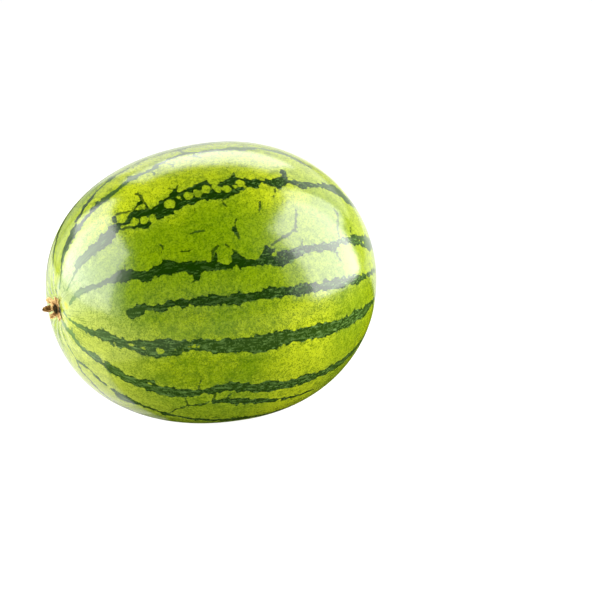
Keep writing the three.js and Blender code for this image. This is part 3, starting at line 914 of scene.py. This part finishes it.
# Soft light panels that stand upright round the fruit: the direction each stands in, degrees from
# +X, its half width in degrees, the elevations of its lower and top edges as seen from the fruit's
# middle, and its radiance as a share of the panel light. The skin mirrors all but one.
PANEL_DISTANCE = 1.2
PANELS = {
    "left_panel": (159, 31, 3, 47, 0.71),
    "left_foot": (159, 31, -5, 3, 0.5),
    "left_edge": (121, 7, 16, 43, 0.44),
    "left_fade": (195, 5, -5, 38, 0.12),
    "back_panel": (60, 21, 30, 49, 0.46),
    "back_edge": (89, 8, 30, 48, 0.3),
    "back_glow": (62, 25, 12, 30, 0.12),
    "right_panel": (-25, 25, -4, 55, 0.86),
    "right_edge": (7, 7, 18, 54, 0.5),
    "right_join": (27, 10, 10, 45, 0.12),
    "right_fade": (-57, 6, 0, 46, 0.15),
    "low_glow": (68, 18, -5, 11, 0.09),
    "low_right": (32, 18, -5, 9, 0.04),
    "low_gap": (96, 9, -5, 30, 0.035),
    "low_left": (115, 7, -5, 16, 0.08),
    "front_fill": (240, 40, -4, 26, 0.3),
}
UNMIRRORED_PANEL = "front_fill"

# Glowing cards on the table round the fruit: the middle of each, its sizes along X and Y in metres,
# and its radiance as a share of the panel light.
CARD_HEIGHT = 0.002
CARDS = {
    "stem_side_card": (-0.58, 0.45, 0.74, 0.54, 0.17),
    "far_card": (0.75, 0.6, 1.1, 1, 0.09),
    "rim_card": (-0.155, 0.4, 0.13, 0.86, 0.09),
    "rim_mid_card": (-0.08, 0.4, 0.02, 0.86, 0.055),
    "rim_end_card": (-0.062, 0.4, 0.016, 0.86, 0.022),
    "stem_card": (-0.395, 0.01, 0.41, 0.34, 0.06),
    "stem_front_card": (-0.36, -0.28, 0.38, 0.24, 0.04),
    "front_card": (-0.1, -0.7, 1.2, 0.6, 0.03),
}


def direction(azimuth, elevation):
    """A unit vector, azimuth in degrees from +X towards +Y."""
    a, e = math.radians(azimuth), math.radians(elevation)
    return Vector((math.cos(a) * math.cos(e), math.sin(a) * math.cos(e), math.sin(e)))


def right_and_upright(back, up=Vector((0, 0, 1))):
    """The ways right and up of a thing that looks against the unit vector back."""
    right = up.cross(back).normalized()
    return right, back.cross(right)


def turned_to(thing, place, back, *up):
    """Puts a camera or light at a place, looking against the vector back."""
    back = back.normalized()
    turn = Matrix((*right_and_upright(back, *up), back)).transposed().to_4x4()
    thing.matrix_world = Matrix.Translation(place) @ turn


class MELON_OT_studio(bpy.types.Operator):
    """Make the pale floor, the white room, the soft panels and cards of light, and the camera"""
    bl_idname = "melon.studio"
    bl_label = "Studio"

    def execute(self, context):
        panel_light = context.scene.melon_studio.panel_light
        self.make_floor()
        self.make_room(context)
        for name, (azimuth, half_width, low, top, share) in PANELS.items():
            half_width, low, top = (PANEL_DISTANCE * math.tan(math.radians(angle))
                                    for angle in (half_width, low, top))
            panel = self.make_light(name, 2 * half_width, top - low, panel_light * share)
            panel.visible_glossy = name != UNMIRRORED_PANEL
            outward = direction(azimuth, 0)
            middle = AXIS_HEIGHT + (low + top) / 2
            turned_to(panel, outward * PANEL_DISTANCE + Vector((0, 0, middle)), outward)
        for name, (x, y, size_x, size_y, share) in CARDS.items():
            card = self.make_light(name, size_x, size_y, panel_light * share)
            turned_to(card, Vector((x, y, CARD_HEIGHT)), Vector((0, 0, -1)), Vector((0, 1, 0)))
        self.make_camera(context)
        context.scene.view_settings.view_transform = "Standard"
        return {"FINISHED"}

    def make_floor(self):
        corners = [(x * FLOOR_REACH, y * FLOOR_REACH, 0) for x, y in ((-1, -1), (1, -1), (1, 1), (-1, 1))]
        mesh = bpy.data.meshes.new("floor")
        mesh.from_pydata(corners, [], [(0, 1, 2, 3)])
        floor = add_object("floor", mesh, floor_material())
        floor.visible_glossy = False

    def make_room(self, context):
        """A white surround that only the camera sees."""
        world = bpy.data.worlds.new("white_room")
        world.use_nodes = True
        background = world.node_tree.nodes["Background"]
        background.inputs["Color"].default_value = (1, 1, 1, 1)
        background.inputs["Strength"].default_value = ROOM_LIGHT
        world.cycles_visibility.diffuse = False
        world.cycles_visibility.glossy = False
        context.scene.world = world

    def make_light(self, name, size_x, size_y, radiance):
        """A soft light of an even radiance, which the camera doesn't see."""
        light = bpy.data.lights.new(name, "AREA")
        light.shape = "RECTANGLE"
        light.size = size_x
        light.size_y = size_y
        light.energy = 4 * size_x * size_y * radiance
        thing = bpy.data.objects.new(name, light)
        bpy.context.scene.collection.objects.link(thing)
        thing.visible_camera = False
        return thing

    def make_camera(self, context):
        camera = bpy.data.cameras.new("camera")
        camera.lens = CAMERA_LENS
        eye = bpy.data.objects.new("camera", camera)
        context.scene.collection.objects.link(eye)
        back = direction(CAMERA_AZIMUTH - 90, CAMERA_ELEVATION)
        right, upright = right_and_upright(back)
        aim = CENTRE + right * CAMERA_AIM[0] + upright * CAMERA_AIM[1]
        place = CENTRE + back * CAMERA_DISTANCE
        turned_to(eye, place, place - aim)
        context.scene.camera = eye


class MELON_PT_sidebar(bpy.types.Panel):
    """Lists what the melon is made of"""
    bl_idname = "MELON_PT_sidebar"
    bl_label = "Striped watermelon"
    bl_space_type = "VIEW_3D"
    bl_region_type = "UI"
    bl_category = "Melon"

    def draw(self, context):
        for operator, name in zip(OPERATORS, SETTINGS):
            box = self.layout.box()
            box.operator(operator.bl_idname)
            settings = getattr(context.scene, name)
            for setting in settings.__annotations__:
                box.prop(settings, setting)


OPERATORS = (MELON_OT_rind, MELON_OT_dried_stem, MELON_OT_studio)
SETTINGS = {"melon_rind": MelonRindLook, "melon_stem": MelonStemLook, "melon_studio": MelonStudio}
CLASSES = (*SETTINGS.values(), *OPERATORS, MELON_PT_sidebar)


def register():
    for kind in CLASSES:
        bpy.utils.register_class(kind)
    for name, kind in SETTINGS.items():
        setattr(bpy.types.Scene, name, bpy.props.PointerProperty(type=kind))


def unregister():
    for name in SETTINGS:
        delattr(bpy.types.Scene, name)
    for kind in reversed(CLASSES):
        bpy.utils.unregister_class(kind)


def main():
    register()
    bpy.ops.melon.rind()
    bpy.ops.melon.dried_stem()
    bpy.ops.melon.studio()


if __name__ == "__main__":
    main()
